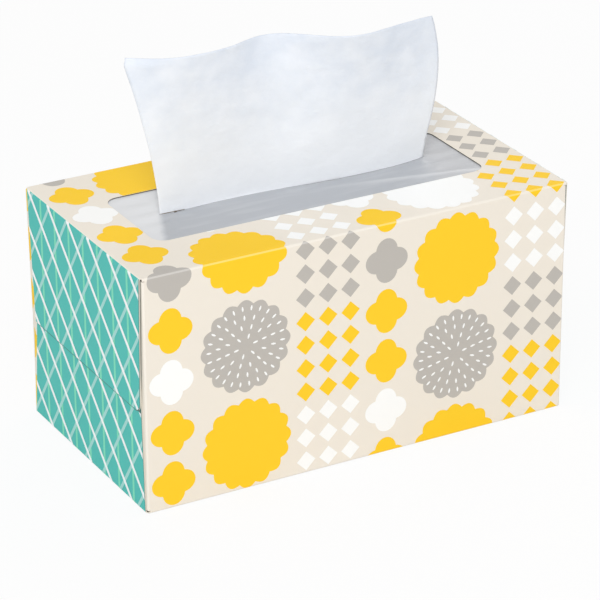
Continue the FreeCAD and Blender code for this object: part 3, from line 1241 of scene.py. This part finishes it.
@dataclass
class StandingTissue:
    """The tissue that stands in the slit, with its lower half folded on the stack."""

    film_top: float
    slit: Slit
    width: float = 208.0
    length: float = 213.0
    standing: float = 83.4
    left_flare: float = 18.1
    left_curve: float = 1.47
    right_flare: float = 14.4
    right_curve: float = 1.33
    right_return: float = 19.4
    return_curve: float = 2.83
    lean_left: float = 2.3
    lean_right: float = 21.8
    lean_curve: float = 1.27
    wave_depth: float = 7.4
    wave_count: float = 1.826
    wave_crest: float = 0.455
    curl_depth: float = 1.33
    curl_count: float = 3.37
    curl_crest: float = 0.2
    wave_curve: float = 1.8
    corner_turn: float = 1.8
    corner_run: float = 0.05
    crumple: float = 0.6
    crumple_run: float = 0.25
    crumple_noise: tuple[tuple[float, float, float, float], ...] = ((1.0, 21, 27, 2.0), (0.45, 9, 13, 7.0))
    thickness: float = 0.3
    bend_radius: float = 3.0
    bend_height: float = 112.25
    crease_y: float = 51.25
    fold_half_gap: float = 0.3
    # Where the painted light at the tissue's foot ends above the film, and starts below it.
    foot_light_height: float = 70.0
    foot_light_from: float = 0.2
    shaded_run: float = 14.0
    columns: int = 130
    rows_up: int = 76

    def __post_init__(self) -> None:
        """Work out the runs under the film: down, round the bend, over the pile, round the crease, back."""
        self.neck = self.film_top - self.bend_height
        self.bend = math.pi / 2 * self.bend_radius
        self.flat = self.crease_y - self.bend_radius
        self.turn = math.pi * self.fold_half_gap
        self.rest = self.length - self.standing - self.neck - self.bend - self.flat - self.turn

    def upright(self, share: float, rise: float) -> Vector:
        """Give a point of the part that stands.

        Args:
            share: Its share of the way from the left edge to the right one.
            rise: Its share of the way up.

        Returns:
            The point in the frame.
        """
        left = self.slit.start - self.left_flare * rise ** self.left_curve
        left += self.corner_turn * eased((rise - 1 + self.corner_run) / self.corner_run)
        right = self.slit.end + self.right_flare * rise ** self.right_curve
        right -= self.right_return * rise ** self.return_curve
        lean = between(self.lean_left, self.lean_right, share) * rise ** self.lean_curve
        wave = self.wave_depth * math.cos(2 * math.pi * self.wave_count * (share - self.wave_crest))
        wave += self.curl_depth * math.cos(2 * math.pi * self.curl_count * (share - self.curl_crest))
        wave *= rise ** self.wave_curve
        x = between(left, right, share)
        up = self.standing * rise
        soft = sum(strength * noise.noise(Vector((x / wide, up / tall, layer)))
                   for strength, wide, tall, layer in self.crumple_noise)
        soft *= self.crumple * eased(rise / self.crumple_run)
        y = self.slit.behind(share) * (1 - rise) + wave - lean + soft
        height = math.sqrt(max(up ** 2 - lean ** 2, 0))
        return Vector((x, y, self.film_top + height))

    def hidden(self, share: float, along: float) -> Vector:
        """Give a point of the part under the film.

        Args:
            share: Its share of the way from the left edge to the right one.
            along: Its length below the film, along the tissue.

        Returns:
            The point in the frame.
        """
        x = between(-self.width / 2, self.width / 2, share)
        radius = self.bend_radius
        if along < self.neck:
            foot, down = self.upright(share, 0), along / self.neck
            return Vector((between(foot.x, x, down), foot.y * (1 - down),
                           between(self.film_top, self.bend_height, down)))
        along -= self.neck
        if along < self.bend:
            angle = along / radius
            return Vector((x, radius * (1 - math.cos(angle)), self.bend_height - radius * math.sin(angle)))
        along -= self.bend
        upper = self.bend_height - radius
        if along < self.flat:
            return Vector((x, radius + along, upper))
        along -= self.flat
        if along < self.turn:
            angle = along / self.fold_half_gap
            return Vector((x, self.crease_y + self.fold_half_gap * math.sin(angle),
                           upper - self.fold_half_gap * (1 - math.cos(angle))))
        return Vector((x, self.crease_y - (along - self.turn), upper - 2 * self.fold_half_gap))

    def stations(self) -> list[float]:
        """Give the lengths below the film at which the hidden part has its rows.

        Returns:
            The lengths, from the top down.
        """
        places, at = [], 0.0
        for run, steps in ((self.neck, 6), (self.bend, 6), (self.flat, 8), (self.turn, 6), (self.rest, 10)):
            places += [at + run * (i + 1) / steps for i in range(steps)]
            at += run
        return places

    def build(self) -> Object:
        """Build the tissue, whose left foot lies in the slit's shade.

        Returns:
            The piece, which replaces the plain tissue.
        """
        places = self.stations()
        rows = self.rows_up + len(places)
        bm = bmesh.new()
        bmesh.ops.create_grid(bm, x_segments=self.columns, y_segments=rows, size=1)
        for vert in bm.verts:
            share = (vert.co.x + 1) / 2
            row = round((1 - vert.co.y) / 2 * rows)
            if row <= self.rows_up:
                vert.co = self.upright(share, 1 - row / self.rows_up)
            else:
                vert.co = self.hidden(share, places[row - self.rows_up - 1])
        paper = Tissue("creped_tissue", self.film_top - self.foot_light_from,
                       self.film_top + self.foot_light_height, self.slit.start + self.shaded_run)
        piece = finish_piece("raised_tissue", bm, paper, smooth=True)
        thicken(piece, self.thickness, 0)
        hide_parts("standing_tissue")
        return piece


@dataclass(frozen=True)
class Lamp:
    """A square soft lamp that points at the box: where it stands and its side, in metres, and its power."""

    name: str
    place: tuple[float, float, float]
    size: float
    watts: float

    def build(self, target: Vector) -> None:
        """Hang the lamp.

        Args:
            target: What it points at, in metres.
        """
        data = bpy.data.lights.new(self.name, "AREA")
        data.shape = "SQUARE"
        data.size = self.size
        data.energy = self.watts
        lamp = bpy.data.objects.new(self.name, data)
        lamp.location = self.place
        lamp.rotation_mode = "QUATERNION"
        lamp.rotation_quaternion = (target - Vector(self.place)).to_track_quat("-Z", "Y")
        bpy.context.scene.collection.objects.link(lamp)


@dataclass(frozen=True)
class Studio:
    """A plain pale floor, soft lamps and a camera at the photograph's viewing angle."""

    camera_place: tuple[float, float, float] = (-0.720515, -1.310317, 0.755053)
    azimuth: float = -28.854
    elevation: float = 24.929
    roll: float = -0.2844
    lens: float = 199.364
    sensor: float = 36.0
    target: tuple[float, float, float] = (0.0, 0.0, 0.08)
    lamps: tuple[Lamp, ...] = (Lamp("key_lamp", (-0.95, -1.48, 1.56), 0.9, 22.5),
                               Lamp("fill_lamp", (1.6, 1.2, 1.1), 1.2, 6.0))
    sky: float = 0.62
    floor_size: float = 6.0
    floor_gap: float = 0.1 * MM
    floor_grey: float = 0.9
    floor_glow: float = 0.9
    underside_gap: float = 1.0 * MM

    def camera(self) -> None:
        """Put the camera where the photograph was taken from."""
        data = bpy.data.cameras.new("camera")
        data.lens = self.lens
        data.sensor_width = self.sensor
        camera = bpy.data.objects.new("camera", data)
        turn = Matrix.Rotation(math.radians(self.azimuth), 4, "Z")
        tilt = Matrix.Rotation(math.radians(90 - self.elevation), 4, "X")
        lean = Matrix.Rotation(math.radians(self.roll), 4, "Z")
        camera.matrix_world = Matrix.Translation(self.camera_place) @ turn @ tilt @ lean
        bpy.context.scene.collection.objects.link(camera)
        bpy.context.scene.camera = camera

    def floor(self) -> None:
        """Lay a large pale floor that keeps the box's shadow.

        From below, and to light for the underside itself, it is clear, so that the underside can be seen.
        """
        bm = bmesh.new()
        bmesh.ops.create_grid(bm, x_segments=8, y_segments=8, size=self.floor_size)
        bmesh.ops.translate(bm, vec=(0, 0, -self.floor_gap), verts=bm.verts)
        mesh = bpy.data.meshes.new("floor")
        bm.to_mesh(mesh)
        bm.free()
        material = bpy.data.materials.new("pale_floor")
        material.use_nodes = True
        tree = material.node_tree
        tree.nodes.clear()
        grey = self.floor_grey
        paint = add_node(tree, "ShaderNodeBsdfDiffuse", {"Color": (grey, grey, grey, 1)})
        glow = add_node(tree, "ShaderNodeEmission", {"Color": (1, 1, 1, 1), "Strength": 1.0})
        share = add_node(tree, "ShaderNodeMath", {0: self.seen_directly(tree), 1: self.floor_glow},
                         operation="MULTIPLY")
        pale = add_node(tree, "ShaderNodeMixShader", {0: share.outputs[0], 1: paint.outputs[0],
                                                      2: glow.outputs[0]})
        from_below = add_node(tree, "ShaderNodeNewGeometry").outputs["Backfacing"]
        reach = add_node(tree, "ShaderNodeLightPath").outputs["Ray Length"]
        under_box = add_node(tree, "ShaderNodeMath", {0: reach, 1: self.underside_gap}, operation="LESS_THAN")
        through = add_node(tree, "ShaderNodeMath", {0: from_below, 1: under_box.outputs[0]},
                           operation="MAXIMUM")
        clear = add_node(tree, "ShaderNodeBsdfTransparent")
        one_way = add_node(tree, "ShaderNodeMixShader", {0: through.outputs[0], 1: pale.outputs[0],
                                                         2: clear.outputs[0]})
        add_node(tree, "ShaderNodeOutputMaterial", {"Surface": one_way.outputs[0]})
        mesh.materials.append(material)
        floor = bpy.data.objects.new("floor", mesh)
        bpy.context.scene.collection.objects.link(floor)

    def seen_directly(self, tree: NodeTree) -> NodeSocket:
        """Find the rays that come from the camera, or from gloss or clear film.

        Args:
            tree: The node tree to add to.

        Returns:
            1 for such a ray, and otherwise 0.
        """
        path = add_node(tree, "ShaderNodeLightPath").outputs
        gloss = add_node(tree, "ShaderNodeMath", {0: path["Is Camera Ray"], 1: path["Is Glossy Ray"]},
                         operation="MAXIMUM")
        return add_node(tree, "ShaderNodeMath", {0: gloss.outputs[0], 1: path["Is Transmission Ray"]},
                        operation="MAXIMUM").outputs[0]

    def world(self) -> None:
        """Light the box evenly, and show white behind it."""
        world = bpy.data.worlds.new("studio")
        bpy.context.scene.world = world
        world.use_nodes = True
        tree = world.node_tree
        tree.nodes.clear()
        light = add_node(tree, "ShaderNodeBackground", {"Color": (1, 1, 1, 1), "Strength": self.sky})
        white = add_node(tree, "ShaderNodeBackground", {"Color": (1, 1, 1, 1), "Strength": 1.0})
        either = add_node(tree, "ShaderNodeMixShader", {0: self.seen_directly(tree), 1: light.outputs[0],
                                                        2: white.outputs[0]})
        add_node(tree, "ShaderNodeOutputWorld", {"Surface": either.outputs[0]})

    def build(self) -> None:
        """Set up the whole studio."""
        self.camera()
        self.floor()
        self.world()
        for lamp in self.lamps:
            lamp.build(Vector(self.target))
        bpy.context.scene.view_settings.view_transform = "Standard"


def dress_node(name: str, finish: Finish) -> None:
    """Give a CAD node its finish.

    Args:
        name: The node's name.
        finish: What it is made of.
    """
    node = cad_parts[name]
    material = finish.material()
    for place in node.material_slots:
        place.material = material
    log.info("%s: %s", name, finish.name)


def corners(node: str) -> tuple[Vector, Vector]:
    """Give a node's lowest and highest corners in millimetres."""
    low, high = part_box(node)
    return low / MM, high / MM


def main() -> None:
    """Build the pieces round the frame, from the carton inwards, and then the studio."""
    logging.basicConfig(level=logging.INFO, format="%(name)s: %(message)s")
    _, high = corners("carton")
    carton = Carton(high.x, high.y, high.z)
    dress_node("carton", carton.board)
    carton.print_sleeve()
    carton.print_ends()
    film_low, film_high = corners("window_film")
    slit = Slit()
    WindowFilm(film_high.x, film_high.y, film_low.z, film_high.z - film_low.z, slit).build()
    StandingTissue(film_high.z, slit).build()
    dress_node("tissue_stack", StackedTissue("clip_of_folded_tissue"))
    for name in ("film_glue", "seam_glue", "left_end_glue", "right_end_glue"):
        dress_node(name, DriedGlue("dried_starch_glue"))
    Studio().build()


if __name__ == "__main__":
    main()
